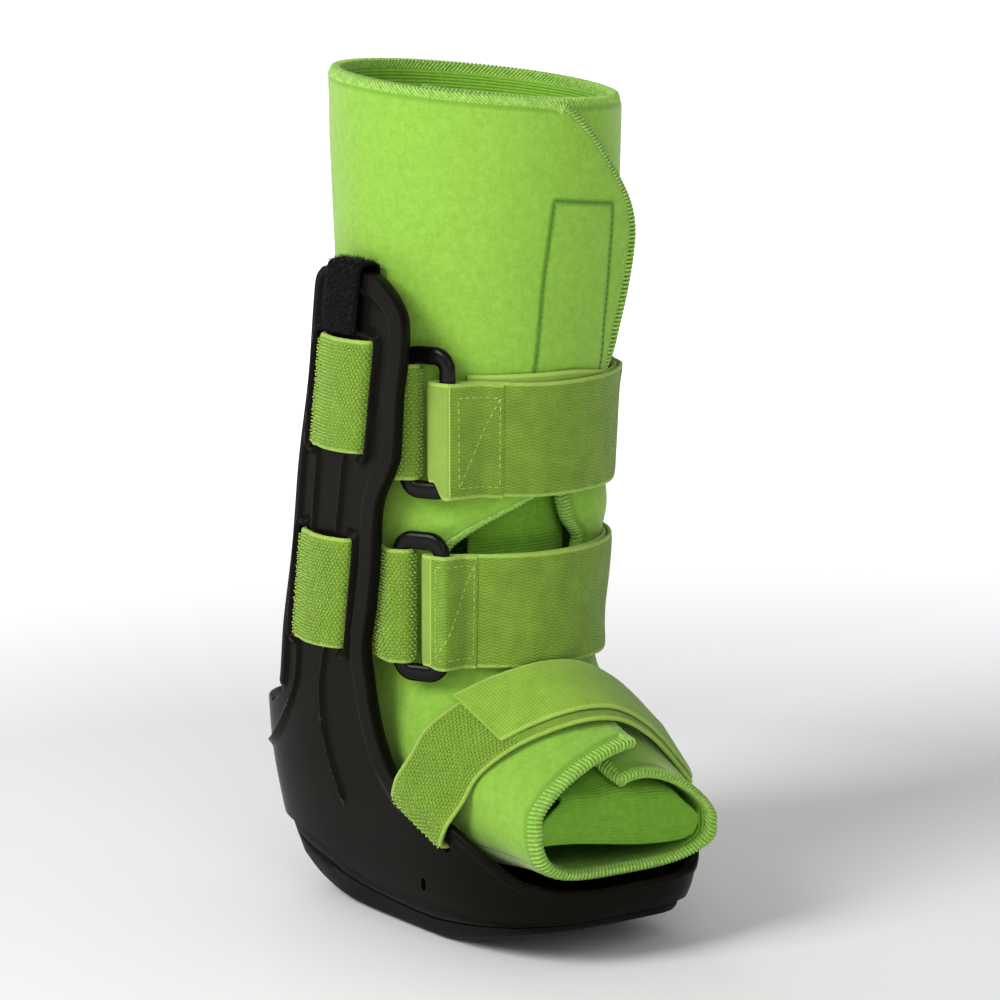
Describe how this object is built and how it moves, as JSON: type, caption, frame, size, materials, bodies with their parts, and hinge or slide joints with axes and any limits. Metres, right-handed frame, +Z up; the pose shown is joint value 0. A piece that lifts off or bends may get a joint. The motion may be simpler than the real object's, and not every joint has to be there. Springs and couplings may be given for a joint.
{
  "type": "medical walking boot",
  "caption": "Small walking boot with a black moulded shell and struts, a wrapped padded green liner with an open toe, leg straps through loops and a foot strap.",
  "frame": {"origin": "on the ground, in the middle of the boot's outline seen from above", "axes": "+Z up along the leg, the toe points to -Y, the boot's right side is at -X"},
  "size_m": [0.1136, 0.1672, 0.2857],
  "materials": {
    "shell_plastic": "satin",
    "sole_rubber": "matt",
    "liner_fabric": "soft brushed knit",
    "strap_fabric": "woven loop face",
    "hook_band": "hook face",
    "loop_plastic": "satin",
    "hook_tape": "bristly hook face"
  },
  "bodies": {
    "root": {"shell": "shell_plastic", "outsole": "sole_rubber", "liner": "liner_fabric", "tongue": "liner_fabric", "upper_ring": "loop_plastic", "lower_ring": "loop_plastic", "upper_anchor_strap": "hook_band", "lower_anchor_strap": "hook_band", "upper_inner_strap": "strap_fabric", "lower_inner_strap": "strap_fabric", "upper_outer_strap": "strap_fabric", "lower_outer_strap": "strap_fabric", "foot_strap_under": "hook_band", "foot_strap_top": "strap_fabric", "right_hook_tape": "hook_tape", "left_hook_tape": "hook_tape"}
  },
  "joints": []
}
